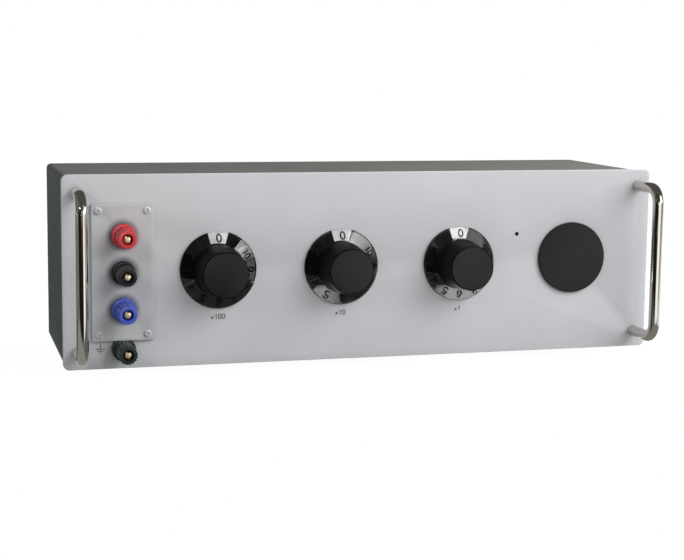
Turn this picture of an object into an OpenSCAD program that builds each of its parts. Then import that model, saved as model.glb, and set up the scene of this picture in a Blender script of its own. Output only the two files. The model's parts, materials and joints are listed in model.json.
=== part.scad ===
// Bench resistance box: three switched decades behind a rack-height panel, in a folded sheet case.
// Millimetres. +Z is up, the panel faces -Y, and the origin lies on the floor under the middle of the box.

/* [Front panel] */
// Width of the front panel
panel_w = 434; // [420:1:480]
// Height of the front panel
panel_h = 133.4; // [126:0.2:150]
// Thickness of the front panel
panel_t = 3.2; // [2.4:0.1:4.4]
// Corner radius of the front panel
panel_corner_r = 4.5; // [2:0.5:7]

/* [Case] */
// Depth from the front of the panel to the outside of the rear cover
case_depth = 135.4; // [132:0.1:180]
// Overhang of the panel above the case and at its sides
case_inset = 1.5; // [1:0.1:3.4]
// Overhang of the panel below the case
case_lift = 0.2; // [0:0.1:3]
// Thickness of the case sheet
sheet_t = 1.6; // [1.2:0.1:2]
// Outside radius of the case bends
case_bend_r = 3.5; // [2.5:0.1:5]
// Width of the flanges that turn in at both ends of the sleeve
flange_w = 16; // [14:0.5:18]
// Height between neighbouring rear screws
rear_screw_pitch = 45; // [35:1:50]
// Diameter of the case screws
case_screw_d = 4; // [3:0.5:5]
// Length of the case screws under the head
case_screw_len = 7; // [6.5:0.5:9]
// Height of the case screw heads
case_head_h = 2.4; // [2:0.1:3]

/* [Feet] */
// Diameter of the rubber feet
foot_d = 16; // [14:1:20]
// Height of the rubber feet
foot_h = 6; // [5.5:0.1:7]
// Foot centre to the side of the case
foot_side = 30; // [20:1:60]
// Foot centre to the front and rear of the case
foot_end = 36; // [20:1:40]

/* [Handles] */
// Diameter of the handle bar
handle_d = 8; // [7:0.1:9]
// Reach of the handles in front of the panel
handle_reach = 38.1; // [35:0.1:45]
// Handle legs to the upper and lower edges of the panel
handle_drop = 12; // [10.5:0.1:16]
// Bend radius of the handle bar on its centre line
handle_bend_r = 11; // [9:0.5:14]
// Handle leg to the side edge of the panel
handle_edge = 9.8; // [9.4:0.1:11]
// Diameter of the handle screws
handle_screw_d = 5; // [4:0.5:5]
// Length of the handle screws inside a leg
handle_thread = 12; // [8:0.5:16]

/* [Terminals] */
// Width of the insulating terminal plate
plate_w = 42.4; // [36:0.2:46]
// Terminal plate to the upper and lower edges of the panel
plate_margin = 19.7; // [17.5:0.1:22]
// Thickness of the terminal plate
plate_t = 3; // [2:0.1:4]
// Corner radius of the terminal plate
plate_corner_r = 1; // [0.5:0.1:3]
// Terminal plate screws to the edges of the plate
plate_screw_inset = 4.6; // [3.5:0.1:5.5]
// Diameter of the terminal plate screws
plate_screw_d = 2.5; // [2:0.1:3]
// Post centre line to the left edge of the panel
post_edge = 40.6; // [40:0.1:46]
// Distance between neighbouring posts on the plate
post_pitch = 25.4; // [23:0.1:27]
// Metal left between the clearance holes behind the plate
post_web = 3.4; // [2:0.1:6]
// Ground post centre below the lower edge of the plate
ground_drop = 5.7; // [5:0.1:7.5]
// Diameter of the post studs
stud_d = 5; // [4.4:0.1:5.4]
// Diameter of the post bases
base_d = 16.2; // [14:0.1:18]
// Thickness of the post bases on the plate
base_t = 4; // [3:0.1:5]
// Diameter of the post caps over the flutes
cap_d = 12.8; // [12:0.1:14]
// Length of the post caps
cap_len = 20.7; // [18:0.1:24]
// Wall of a cap round its clamp washer
cap_wall = 2; // [1.6:0.1:2.4]
// Number of flutes round a cap
cap_flutes = 16; // [12:1:20]
// Depth of the flutes
flute_depth = 0.7; // [0.4:0.1:1]
// Diameter of the wire hole through each stud
wire_hole_d = 2.8; // [2:0.1:3]

/* [Dials] */
// First dial centre to the left edge of the panel
dial_edge = 106.4; // [104:0.2:112]
// Blank cover centre to the right edge of the panel
blank_edge = 62.4; // [58:0.2:68]
// Diameter of the clear dial skirts
skirt_d = 54; // [48:0.5:60]
// Thickness of the dial skirts
skirt_t = 1.6; // [1.2:0.1:2.2]
// Diameter of the grips where they meet the skirts
grip_base_d = 36.4; // [34:0.2:40]
// Diameter of the grips at their faces
grip_face_d = 32; // [28:0.2:33]
// Reach of the dials in front of the panel
knob_reach = 30; // [26:0.2:34]
// Angle of the white reading windows
window_angle = 32; // [20:1:40]
// Thickness of the dial masks
mask_t = 0.6; // [0.4:0.1:1]
// Diameter of the switch shafts
shaft_d = 6.35; // [5.5:0.05:6.5]
// Diameter of the threaded switch bushings
bushing_d = 9.5; // [9:0.1:10.5]

/* [Blank position] */
// Diameter of the blank cover
blank_d = 52; // [40:0.5:56]
// Thickness of the blank cover
blank_t = 3; // [2:0.1:5]
// Blank cover centre above the row of dials
blank_rise = 2.2; // [0:0.1:4]

/* [Switch decks] */
// Space between neighbouring stator decks
deck_space = 8.4; // [5:0.1:11]
// Thickness of the stator decks
deck_t = 4; // [3:0.1:5]
// Distance from a switch frame to its deck
deck_gap = 44; // [38:0.5:55]
// Contact stud centres to the edge of a deck
contact_edge = 13; // [12:0.1:15]
// Diameter of the insulating pillars
pillar_d = 6; // [5:0.1:7]
// Diameter of the resistor bodies
resistor_d = 4.4; // [3:0.1:5]
// Diameter of the hook-up leads
lead_d = 2.2; // [1.6:0.1:2.6]
// Height of the guard plate above the case floor
guard_gap = 12; // [10:0.5:13]

/* [Clearances] */
// Radial clearance of a piece that turns or slides on another
run_gap = 0.05; // [0.02:0.01:0.1]
// Radial clearance between pieces that stay put
fit_gap = 0.02; // [0.01:0.01:0.05]
// Clearance between a moving piece and its neighbours
free_gap = 0.3; // [0.25:0.05:0.4]
// Radial clearance of a screw or bushing in a plain hole
hole_gap = 0.2; // [0.1:0.05:0.3]

/* [Hidden] */
$fn = 64;
// Overrun of a cutting shape past the face that it cuts
cut = 1;

// Detail sizes of the small parts
panel_nut_af = 14;
panel_nut_t = 2.6;
bushing_proud = 1.4;
rim_t = 1.2;
mask_margin = 0.5;
collet_wall = 2.3;
face_cap_t = 1.2;
grip_lip = 0.8;
edge_r = 0.8;
frame_t = 2;
frame_margin = 2;
wheel_d = 28;
wheel_t = 4;
notch_r = 2.2;
roller_r = 2;
leaf_t = 0.8;
leaf_w = 10;
spring_foot = 7;
contact_head_d = 6;
contact_head_t = 1;
contact_shank_d = 3;
terminal_len = 8;
pillar_clear = 1;
spigot_d = 3;
deck_screw_d = 2.8;
deck_screw_grip = 5;
deck_head_d = 5.6;
deck_head_h = 2;
ring_in_r = 11.5;
ring_out_r = 15;
tab_d = 2.4;
tab_len = 6;
wiper_w = 7;
wiper_t = 0.6;
wiper_end = 2;
dimple_d = 3;
dimple_h = 0.8;
rotor_d = 18;
rotor_len = 10;
shaft_tail = 3;
resistor_end = 1.7;
resistor_lead_d = 0.8;
solder_gap = 0.1;
shoulder_w = 1.2;
shoulder_t = 1;
stud_recess = 0.8;
cap_recess_gap = 1.2;
cap_thread = 10;
wire_relief = 1.4;
cap_collar = 3;
washer_t = 1.2;
slot_w = 0.8;
slot_depth = 1.2;
post_nut_af = 8;
outer_nut_t = 3;
lug_t = 0.8;
lug_d = 9;
lug_w = 5;
lug_reach = 9;
stud_tail = 1.5;
plate_head_d = 5;
plate_head_h = 1.7;
handle_head_d = 8.5;
handle_head_h = 3;
case_head_d = 7;
foot_sink = 1;
foot_draft = 1.5;
guard_t = 1.2;
guard_margin = 12;
guard_front = 18;
guard_rear = 20;
guard_hole_side = 40;
guard_hole_end = 10;

// Places in the frame of the part
case_w = panel_w - 2 * case_inset;
case_h = panel_h - case_inset - case_lift;
case_mid = case_lift + case_h / 2;
floor_y = case_lift + sheet_t;
panel_z = foot_h - case_lift;
overall_depth = handle_reach + case_depth + case_head_h;
panel_y = handle_reach - overall_depth / 2;
left_edge = -panel_w / 2;
mid_y = panel_h / 2;
handle_pitch = panel_h - 2 * handle_drop;

// Dials and decks, with depths counted forward from the front of the panel
dial_count = 3;
dial_pitch = (panel_w - dial_edge - blank_edge) / dial_count;
deck_d = dial_pitch - deck_space;
step_angle = 30;
step_count = 10;
window_r = grip_base_d / 2;
mask_r = skirt_d / 2 - mask_margin;
mask_hole_d = panel_nut_af / cos(30) + 2 * free_gap;
bushing_end = panel_nut_t + bushing_proud;
rim_u = mask_t + 2 * free_gap;
hub_u = bushing_end + free_gap;
grip_u = hub_u + skirt_t;
collet_r = shaft_d / 2 + collet_wall;
collet_end = knob_reach - face_cap_t - 2 * cut;
face_r = grip_face_d / 2 - grip_lip;
frame_u = -(panel_t + frame_t);
deck_u = frame_u - deck_gap;
deck_back = deck_u - deck_t;
contact_r = deck_d / 2 - contact_edge;
pillar_r = contact_r + contact_head_d / 2 + pillar_d / 2 + pillar_clear;
pillar_xy = pillar_r * cos(45);
frame_side = 2 * (pillar_xy + pillar_d / 2 + frame_margin);
tab_r = (ring_in_r + ring_out_r) / 2;
tab_angle = 90 + step_angle;
wiper_u = deck_u + contact_head_t + free_gap + dimple_h;
rotor_u = wiper_u + wiper_t;
wheel_u = frame_u - free_gap - wheel_t;
roller_y = wheel_d / 2 + free_gap + roller_r;
deck_screw_len = deck_t + deck_screw_grip;

// Posts
post_x = left_edge + post_edge;
plate_h = panel_h - 2 * plate_margin;
ground_y = plate_margin - ground_drop;
post_level = plate_t + base_t;
cap_u = post_level + free_gap;
cap_end = cap_u + cap_len;
stud_end = cap_end - stud_recess;
shoulder_d = stud_d + 2 * shoulder_w;
post_nut_t = panel_t + free_gap;
post_window_d = post_pitch - post_web;
wire_hole_u = cap_u + free_gap + wire_hole_d / 2 + shoulder_t;
washer_d = cap_d - 2 * cap_wall;
POSTS = ["red", "black", "blue", "ground"];

// Guard plate
guard_y = floor_y + guard_gap;
guard_left = post_x - guard_margin;
guard_right = dial_x(dial_count - 1) + deck_d / 2;
guard_depth = case_depth - panel_t - guard_front - guard_rear;

// Lead ends stop just short of the faces that they are soldered to
lead_gap = 0.05;
deck_pull = 25;
return_pull = 60;
post_pull = 120;
guard_lead_in = 30;
lead_sides = 8;
lead_steps = 15;

function dial_x(i) = left_edge + dial_edge + i * dial_pitch;
function post_y(i) = i < 3 ? mid_y + (1 - i) * post_pitch : ground_y;
function post_seat(i) = i < 3 ? 0 : panel_t;
function lug_u(i) = -(post_seat(i) + post_nut_t + lug_t);
function contact_angle(n) = 90 - step_angle * n;
function arc(x, y, r, from, to, n = 6) =
    [for (i = [0 : n]) let (a = from + (to - from) * i / n) [x + r * cos(a), y + r * sin(a)]];
function bezier(p, t) =
    pow(1 - t, 3) * p[0] + 3 * pow(1 - t, 2) * t * p[1] + 3 * (1 - t) * t * t * p[2] + pow(t, 3) * p[3];
function bezier_slope(p, t) =
    pow(1 - t, 2) * (p[1] - p[0]) + 2 * (1 - t) * t * (p[2] - p[1]) + t * t * (p[3] - p[2]);
function unit(v) = v / norm(v);

// Where each lead starts and ends: solder lugs, deck terminals, collector tabs and the guard plate
function lug_end(i) = [post_x, post_y(i) + lug_reach, lug_u(i) - lead_gap];
function zero_end(i) = [dial_x(i), mid_y + contact_r, deck_back - terminal_len - lead_gap];
function tab_end(i) =
    [dial_x(i) + tab_r * cos(tab_angle), mid_y + tab_r * sin(tab_angle), deck_back - tab_len - lead_gap];
guard_end = [post_x, guard_y + guard_t + lead_gap, -(panel_t + guard_front + guard_lead_in)];

DIAL_PIECES = ["grip", "skirt", "face", "collet", "shaft", "rotor", "wiper"];

// Moves children to a point of the panel: X to the right, Y up from its lower edge, Z forward from its face
module on_panel(x = 0, y = 0) {
    translate([x, panel_y, panel_z + y]) rotate([90, 0, 0]) children();
}

module at_dials() {
    for (i = [0 : dial_count - 1]) on_panel(dial_x(i), mid_y) children();
}

module rounded_rect(w, h, r) {
    square([w - 2 * r, h], center = true);
    square([w, h - 2 * r], center = true);
    for (x = [-1, 1], y = [-1, 1]) translate([x * (w / 2 - r), y * (h / 2 - r)]) circle(r = r);
}

module tube(d_out, d_in, from, to) {
    difference() {
        translate([0, 0, from]) cylinder(d = d_out, h = to - from);
        translate([0, 0, from - cut]) cylinder(d = d_in, h = to - from + 2 * cut);
    }
}

module hex_nut(af, bore_d, from, to) {
    difference() {
        translate([0, 0, from]) cylinder(d = af / cos(30), h = to - from, $fn = 6);
        translate([0, 0, from - cut]) cylinder(d = bore_d, h = to - from + 2 * cut);
    }
}

// Pan-head screw with a cross recess: the head stands on z = 0 and the shank runs down
module pan_screw(d, len, head_d, head_h) {
    recess_w = head_d / 7;
    recess_l = head_d / 2;
    difference() {
        rotate_extrude() polygon([
            [0, -len], [d / 2, -len], [d / 2, 0], [head_d / 2, 0],
            [head_d / 2, head_h / 2], [head_d / 3, head_h], [0, head_h]
        ]);
        for (a = [0, 90]) rotate(a) translate([-recess_l / 2, -recess_w / 2, head_h / 2])
            cube([recess_l, recess_w, head_h]);
    }
}

module at_plate_screws() {
    for (x = [-1, 1], y = [-1, 1])
        translate([x * (plate_w / 2 - plate_screw_inset), y * (plate_h / 2 - plate_screw_inset)]) children();
}

module at_handle_legs() {
    for (x = [-1, 1], y = [-1, 1])
        translate([x * (panel_w / 2 - handle_edge), mid_y + y * handle_pitch / 2]) children();
}

module at_rear_screws() {
    for (x = [-1, 1], y = [-1 : 1])
        translate([x * (case_w / 2 - sheet_t - flange_w / 2), case_mid + y * rear_screw_pitch]) children();
}

module at_feet() {
    for (x = [-1, 1], z = [panel_t + foot_end, case_depth - foot_end])
        translate([x * (case_w / 2 - foot_side), panel_y + z, 0]) children();
}

module at_guard_pillars() {
    for (x = [guard_left + guard_hole_side, guard_right - guard_hole_side],
         z = [guard_front + guard_hole_end, guard_front + guard_depth - guard_hole_end])
        translate([x, 0, -(panel_t + z)]) rotate([-90, 0, 0]) children();
}

module at_pillars() {
    for (x = [-1, 1], y = [-1, 1]) translate([x * pillar_xy, y * pillar_xy]) children();
}

module at_contacts(count = step_count + 1) {
    for (n = [0 : count - 1]) rotate(contact_angle(n)) translate([contact_r, 0]) children();
}

// Case

module front_panel() {
    color("#bcbdc0") on_panel() translate([0, 0, -panel_t]) linear_extrude(panel_t) difference() {
        translate([0, mid_y]) rounded_rect(panel_w, panel_h, panel_corner_r);
        at_handle_legs() circle(d = handle_screw_d + 2 * hole_gap);
        for (i = [0 : dial_count - 1]) translate([dial_x(i), mid_y]) circle(d = bushing_d + 2 * hole_gap);
        translate([dial_x(dial_count), mid_y + blank_rise]) circle(d = bushing_d + 2 * hole_gap);
        for (i = [0 : 2]) translate([post_x, post_y(i)]) circle(d = post_window_d);
        translate([post_x, ground_y]) circle(d = stud_d + 2 * hole_gap);
        translate([post_x, mid_y]) at_plate_screws() circle(d = plate_screw_d + 2 * fit_gap);
    }
}

module flange(side) {
    translate([side > 0 ? case_w / 2 - sheet_t - flange_w : -case_w / 2 + sheet_t / 2, floor_y + case_bend_r])
        square([flange_w + sheet_t / 2, case_h - 2 * (case_bend_r + sheet_t)]);
}

module case_sleeve() {
    length = case_depth - panel_t - sheet_t;
    color("#5a5b5a") difference() {
        union() {
            on_panel() translate([0, 0, -panel_t - length]) linear_extrude(length) difference() {
                translate([0, case_mid]) rounded_rect(case_w, case_h, case_bend_r);
                translate([0, case_mid])
                    rounded_rect(case_w - 2 * sheet_t, case_h - 2 * sheet_t, case_bend_r - sheet_t);
            }
            on_panel() translate([0, 0, -panel_t - sheet_t]) linear_extrude(sheet_t) difference() {
                for (side = [-1, 1]) flange(side);
                at_handle_legs() circle(d = handle_screw_d + 2 * hole_gap);
            }
            on_panel() translate([0, 0, -panel_t - length]) linear_extrude(sheet_t) difference() {
                for (side = [-1, 1]) flange(side);
                at_rear_screws() circle(d = case_screw_d + 2 * fit_gap);
            }
        }
        at_feet() translate([0, 0, foot_h - cut])
            cylinder(d = case_screw_d + 2 * fit_gap, h = sheet_t + 2 * cut);
        on_panel() translate([0, case_lift - cut, 0]) at_guard_pillars()
            cylinder(d = spigot_d + 2 * fit_gap, h = sheet_t + 2 * cut);
    }
}

module rear_cover() {
    color("#555655") on_panel() translate([0, 0, -case_depth]) linear_extrude(sheet_t) difference() {
        translate([0, case_mid]) rounded_rect(case_w, case_h, case_bend_r);
        at_rear_screws() circle(d = case_screw_d + 2 * hole_gap);
    }
}

module case_screws() {
    color("#8f9194") {
        on_panel() translate([0, 0, -case_depth]) at_rear_screws() rotate([180, 0, 0])
            pan_screw(case_screw_d, case_screw_len, case_head_d, case_head_h);
        at_feet() translate([0, 0, foot_sink + case_head_h]) rotate([180, 0, 0])
            pan_screw(case_screw_d, case_screw_len, case_head_d, case_head_h);
    }
}

module rubber_feet() {
    sink_d = case_head_d + 4 * hole_gap;
    bore_d = case_screw_d + 2 * hole_gap;
    color("#1d1d1e") at_feet() rotate_extrude() polygon([
        [sink_d / 2, 0], [foot_d / 2 - foot_draft, 0], [foot_d / 2, foot_h], [bore_d / 2, foot_h],
        [bore_d / 2, foot_sink + case_head_h], [sink_d / 2, foot_sink + case_head_h]
    ]);
}

// Handles

module handle(side) {
    leg = handle_reach - handle_d / 2 - handle_bend_r;
    half = handle_pitch / 2;
    color("#c9c9c6") on_panel(side * (panel_w / 2 - handle_edge), mid_y) difference() {
        union() {
            for (m = [0, 1]) mirror([0, m, 0]) {
                translate([0, half, 0]) cylinder(d = handle_d, h = leg);
                translate([0, half - handle_bend_r, leg]) rotate([90, 0, 90])
                    rotate_extrude(angle = 90) translate([handle_bend_r, 0]) circle(d = handle_d);
            }
            translate([0, half - handle_bend_r, leg + handle_bend_r]) rotate([90, 0, 0])
                cylinder(d = handle_d, h = 2 * (half - handle_bend_r));
        }
        for (y = [-half, half]) translate([0, y, -cut])
            cylinder(d = handle_screw_d + 2 * fit_gap, h = handle_thread + 2 * cut);
    }
}

module handle_screws() {
    grip = panel_t + sheet_t + handle_thread;
    color("#8f9194") on_panel() at_handle_legs() translate([0, 0, -panel_t - sheet_t]) rotate([180, 0, 0])
        pan_screw(handle_screw_d, grip, handle_head_d, handle_head_h);
}

// Terminals

module terminal_plate() {
    color("#a6a6a8") on_panel(post_x, mid_y) linear_extrude(plate_t) difference() {
        rounded_rect(plate_w, plate_h, plate_corner_r);
        for (i = [0 : 2]) translate([0, post_y(i) - mid_y]) circle(d = stud_d + 2 * fit_gap);
        at_plate_screws() circle(d = plate_screw_d + 2 * hole_gap);
    }
}

module terminal_plate_screws() {
    color("#d5d5d3") on_panel(post_x, mid_y) translate([0, 0, plate_t]) at_plate_screws()
        pan_screw(plate_screw_d, plate_t + panel_t - free_gap, plate_head_d, plate_head_h);
}

// The ground base stands on the panel and has a flat where it passes the lower edge of the plate
module post_base(i, tint) {
    seat = i < 3 ? plate_t : 0;
    flat = ground_drop - free_gap;
    color(tint) on_panel(post_x, post_y(i)) difference() {
        rotate_extrude() polygon(concat(
            [[stud_d / 2 + fit_gap, seat], [base_d / 2, seat]],
            arc(base_d / 2 - edge_r, post_level - edge_r, edge_r, 0, 90),
            [[shoulder_d / 2 + fit_gap, post_level], [shoulder_d / 2 + fit_gap, post_level - shoulder_t],
             [stud_d / 2 + fit_gap, post_level - shoulder_t]]
        ));
        if (i == 3) translate([-base_d, flat, -cut]) cube([2 * base_d, base_d, post_level + 2 * cut]);
    }
}

module post_studs() {
    color("#d9b45a") for (i = [0 : 3]) on_panel(post_x, post_y(i)) {
        tail = -lug_u(i) + outer_nut_t + stud_tail;
        difference() {
            union() {
                translate([0, 0, -tail]) cylinder(d = stud_d, h = tail + stud_end);
                translate([0, 0, post_level - shoulder_t]) cylinder(d = shoulder_d, h = shoulder_t);
            }
            translate([-stud_d, 0, wire_hole_u]) rotate([0, 90, 0]) cylinder(d = wire_hole_d, h = 2 * stud_d);
            rotate(-45) translate([-stud_d, -slot_w / 2, stud_end - slot_depth])
                cube([2 * stud_d, slot_w, slot_depth + cut]);
        }
    }
}

module post_nuts() {
    color("#c6a24e") for (i = [0 : 3]) on_panel(post_x, post_y(i)) {
        bore_d = stud_d + 2 * fit_gap;
        hex_nut(post_nut_af, bore_d, -post_seat(i) - post_nut_t, -post_seat(i));
        hex_nut(post_nut_af, bore_d, lug_u(i) - outer_nut_t, lug_u(i));
    }
}

module post_lugs() {
    color("#c9c9c6") for (i = [0 : 3]) on_panel(post_x, post_y(i)) translate([0, 0, lug_u(i)])
        linear_extrude(lug_t) difference() {
            union() {
                circle(d = lug_d);
                translate([-lug_w / 2, 0]) square([lug_w, lug_reach]);
                translate([0, lug_reach]) circle(d = lug_w);
            }
            circle(d = stud_d + 2 * fit_gap);
        }
}

module post_cap(i, tint) {
    seat_d = washer_d + 2 * free_gap;
    flute_r = PI * cap_d / cap_flutes / 4;
    relief_h = wire_hole_u + wire_hole_d / 2 + free_gap - cap_u;
    color(tint) on_panel(post_x, post_y(i)) difference() {
        intersection() {
            translate([0, 0, cap_u]) union() {
                cylinder(d = cap_d, h = cap_collar);
                linear_extrude(cap_len) difference() {
                    circle(d = cap_d);
                    for (n = [0 : cap_flutes - 1]) rotate(360 * n / cap_flutes)
                        translate([cap_d / 2 + flute_r - flute_depth, 0]) circle(r = flute_r);
                }
            }
            rotate_extrude() polygon(concat(
                [[0, cap_u], [cap_d / 2, cap_u]],
                arc(cap_d / 2 - edge_r, cap_end - edge_r, edge_r, 0, 90),
                [[0, cap_end]]
            ));
        }
        translate([0, 0, cap_u - cut]) cylinder(d = stud_d + 2 * run_gap, h = cap_len + 2 * cut);
        translate([0, 0, cap_u - cut]) cylinder(d = seat_d, h = cut + washer_t + free_gap);
        translate([0, 0, cap_u - cut]) cylinder(d = stud_d + 2 * wire_relief, h = cut + relief_h);
        translate([0, 0, cap_u + washer_t + cap_thread])
            cylinder(d = stud_d + 2 * cap_recess_gap, h = cap_len);
    }
}

module post_washer(i) {
    color("#c9c9c6") on_panel(post_x, post_y(i))
        tube(washer_d, stud_d + 2 * run_gap, cap_u, cap_u + washer_t);
}

// Dials

// Ring sector of the reading window, seen from the front
module window_shape() {
    reach = skirt_d;
    half = window_angle / 2;
    intersection() {
        difference() {
            circle(r = mask_r);
            circle(r = window_r);
        }
        polygon([[0, 0], [-reach * tan(half), reach], [reach * tan(half), reach]]);
    }
}

module dial_masks() {
    color("#0f0f10") at_dials() linear_extrude(mask_t) difference() {
        circle(r = mask_r);
        circle(d = mask_hole_d);
        window_shape();
    }
}

module dial_windows() {
    color("#f2f2ee") at_dials() linear_extrude(mask_t) window_shape();
}

module dial_skirt(i) {
    r = skirt_d / 2;
    color("#cfd3d4", 0.45) on_panel(dial_x(i), mid_y) rotate_extrude() polygon([
        [r - rim_t, rim_u], [r, rim_u], [r, rim_u + rim_t], [grip_base_d / 2, grip_u],
        [collet_r + fit_gap, grip_u], [collet_r + fit_gap, hub_u], [grip_base_d / 2 - rim_t, hub_u]
    ]);
}

module dial_grip(i) {
    color("#121213") on_panel(dial_x(i), mid_y) rotate_extrude() polygon(concat(
        [[collet_r + fit_gap, grip_u], [grip_base_d / 2, grip_u]],
        arc(grip_face_d / 2 - edge_r, knob_reach - edge_r, edge_r, 0, 90),
        [[face_r + fit_gap, knob_reach], [face_r + fit_gap, knob_reach - face_cap_t],
         [collet_r + fit_gap, knob_reach - face_cap_t]]
    ));
}

module dial_face(i) {
    color("#2b2a2d") on_panel(dial_x(i), mid_y) translate([0, 0, knob_reach - face_cap_t])
        cylinder(r = face_r, h = face_cap_t);
}

module dial_collet(i) {
    color("#b98f45") on_panel(dial_x(i), mid_y)
        tube(2 * collet_r, shaft_d + 2 * fit_gap, hub_u, collet_end);
}

// The shaft carries the notched detent wheel behind the switch frame
module dial_shaft(i) {
    color("#9fa1a3") on_panel(dial_x(i), mid_y) {
        translate([0, 0, deck_back - shaft_tail]) cylinder(d = shaft_d, h = collet_end - deck_back + shaft_tail);
        translate([0, 0, wheel_u]) linear_extrude(wheel_t) difference() {
            circle(d = wheel_d);
            for (a = [0 : step_angle : 359]) rotate(a) translate([wheel_d / 2 + notch_r / 2, 0]) circle(r = notch_r);
        }
    }
}

module dial_rotor(i) {
    color("#e8e4d8") on_panel(dial_x(i), mid_y)
        tube(rotor_d, shaft_d + 2 * fit_gap, rotor_u, rotor_u + rotor_len);
}

module dial_wiper(i) {
    color("#c08a4a") on_panel(dial_x(i), mid_y) {
        translate([0, 0, wiper_u]) linear_extrude(wiper_t) difference() {
            union() {
                circle(d = rotor_d);
                translate([-wiper_w / 2, 0]) square([wiper_w, contact_r + wiper_end]);
            }
            circle(d = shaft_d + 2 * fit_gap);
        }
        for (r = [tab_r, contact_r]) translate([0, r, wiper_u - dimple_h]) cylinder(d = dimple_d, h = dimple_h + wiper_t);
    }
}

module blank_cover() {
    tail = panel_t + panel_nut_t + bushing_proud;
    color("#242426") on_panel(dial_x(dial_count), mid_y + blank_rise) {
        rotate_extrude() polygon(concat(
            [[0, 0], [blank_d / 2, 0]],
            arc(blank_d / 2 - edge_r, blank_t - edge_r, edge_r, 0, 90),
            [[0, blank_t]]
        ));
        translate([0, 0, -tail]) cylinder(d = bushing_d, h = tail + cut);
    }
}

module panel_nuts() {
    bore_d = bushing_d + 2 * fit_gap;
    color("#b9bbbd") {
        at_dials() hex_nut(panel_nut_af, bore_d, 0, panel_nut_t);
        on_panel(dial_x(dial_count), mid_y + blank_rise)
            hex_nut(panel_nut_af, bore_d, -panel_t - panel_nut_t, -panel_t);
    }
}

// Switches

module switch_frames() {
    color("#a9a592") at_dials() difference() {
        union() {
            translate([0, 0, frame_u]) linear_extrude(frame_t)
                rounded_rect(frame_side, frame_side, pillar_d / 2);
            translate([0, 0, frame_u]) cylinder(d = bushing_d, h = bushing_end - frame_u);
        }
        translate([0, 0, frame_u - cut])
            cylinder(d = shaft_d + 2 * run_gap, h = bushing_end - frame_u + 2 * cut);
        at_pillars() translate([0, 0, frame_u - cut]) cylinder(d = spigot_d + 2 * fit_gap, h = frame_t + 2 * cut);
    }
}

// Each spring is a bent leaf on the switch frame with a roller above the detent wheel
module detent_springs() {
    height = free_gap + wheel_t;
    back_y = roller_y + roller_r;
    color("#7f8284") at_dials() {
        translate([-leaf_w / 2, back_y, frame_u - height]) cube([leaf_w, leaf_t, height]);
        translate([-leaf_w / 2, back_y, frame_u - leaf_t]) cube([leaf_w, spring_foot, leaf_t]);
        difference() {
            translate([0, roller_y, wheel_u]) cylinder(r = roller_r, h = wheel_t);
            translate([-leaf_w, back_y, wheel_u - cut]) cube([2 * leaf_w, roller_r, wheel_t + 2 * cut]);
        }
        translate([-roller_r / 2, roller_y, wheel_u]) cube([roller_r, roller_r + leaf_t / 2, wheel_t]);
    }
}

module pillar(length, socket) {
    difference() {
        union() {
            cylinder(d = pillar_d, h = length);
            translate([0, 0, -frame_t + hole_gap]) cylinder(d = spigot_d, h = frame_t);
        }
        translate([0, 0, length - socket]) cylinder(d = deck_screw_d + 2 * fit_gap, h = socket + cut);
    }
}

module insulating_pillars() {
    color("#7a5a38") {
        at_dials() at_pillars() translate([0, 0, frame_u]) rotate([180, 0, 0])
            pillar(deck_gap, deck_screw_grip + cut);
        on_panel() translate([0, floor_y, 0]) at_guard_pillars()
            pillar(guard_gap, deck_screw_len - guard_t + cut / 2);
    }
}

module deck_screws() {
    color("#8f9194") {
        at_dials() at_pillars() translate([0, 0, deck_back]) rotate([180, 0, 0])
            pan_screw(deck_screw_d, deck_screw_len, deck_head_d, deck_head_h);
        on_panel() translate([0, guard_y + guard_t, 0]) at_guard_pillars()
            pan_screw(deck_screw_d, deck_screw_len, deck_head_d, deck_head_h);
    }
}

module stator_decks() {
    color("#efece2") at_dials() translate([0, 0, deck_back]) linear_extrude(deck_t) difference() {
        circle(d = deck_d);
        circle(d = shaft_d + 2 * run_gap);
        at_pillars() circle(d = deck_screw_d + 2 * hole_gap);
        at_contacts() circle(d = contact_shank_d + 2 * fit_gap);
        rotate(tab_angle) translate([tab_r, 0]) circle(d = tab_d + 2 * fit_gap);
    }
}

module contact_studs() {
    color("#c9a554") at_dials() at_contacts() {
        translate([0, 0, deck_u]) cylinder(d = contact_head_d, h = contact_head_t);
        translate([0, 0, deck_back - terminal_len])
            cylinder(d = contact_shank_d, h = terminal_len + deck_t + contact_head_t);
    }
}

module collector_rings() {
    color("#c9a554") at_dials() {
        tube(2 * ring_out_r, 2 * ring_in_r, deck_u, deck_u + contact_head_t);
        rotate(tab_angle) translate([tab_r, 0, deck_back - tab_len])
            cylinder(d = tab_d, h = tab_len + deck_t + contact_head_t);
    }
}

// Ten resistors on each deck bridge neighbouring contact terminals
module decade_resistors() {
    chord = 2 * contact_r * sin(step_angle / 2);
    span = chord - contact_shank_d - 2 * solder_gap;
    color("#3f6f8f") at_dials() for (n = [0 : step_count - 1])
        rotate(contact_angle(n + 0.5))
            translate([contact_r * cos(step_angle / 2), 0, deck_back - terminal_len / 2 - cut / 2])
            rotate([90, 0, 0]) {
                cylinder(d = resistor_d, h = span - 2 * resistor_end, center = true);
                cylinder(d = resistor_lead_d, h = span, center = true);
            }
}

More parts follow.
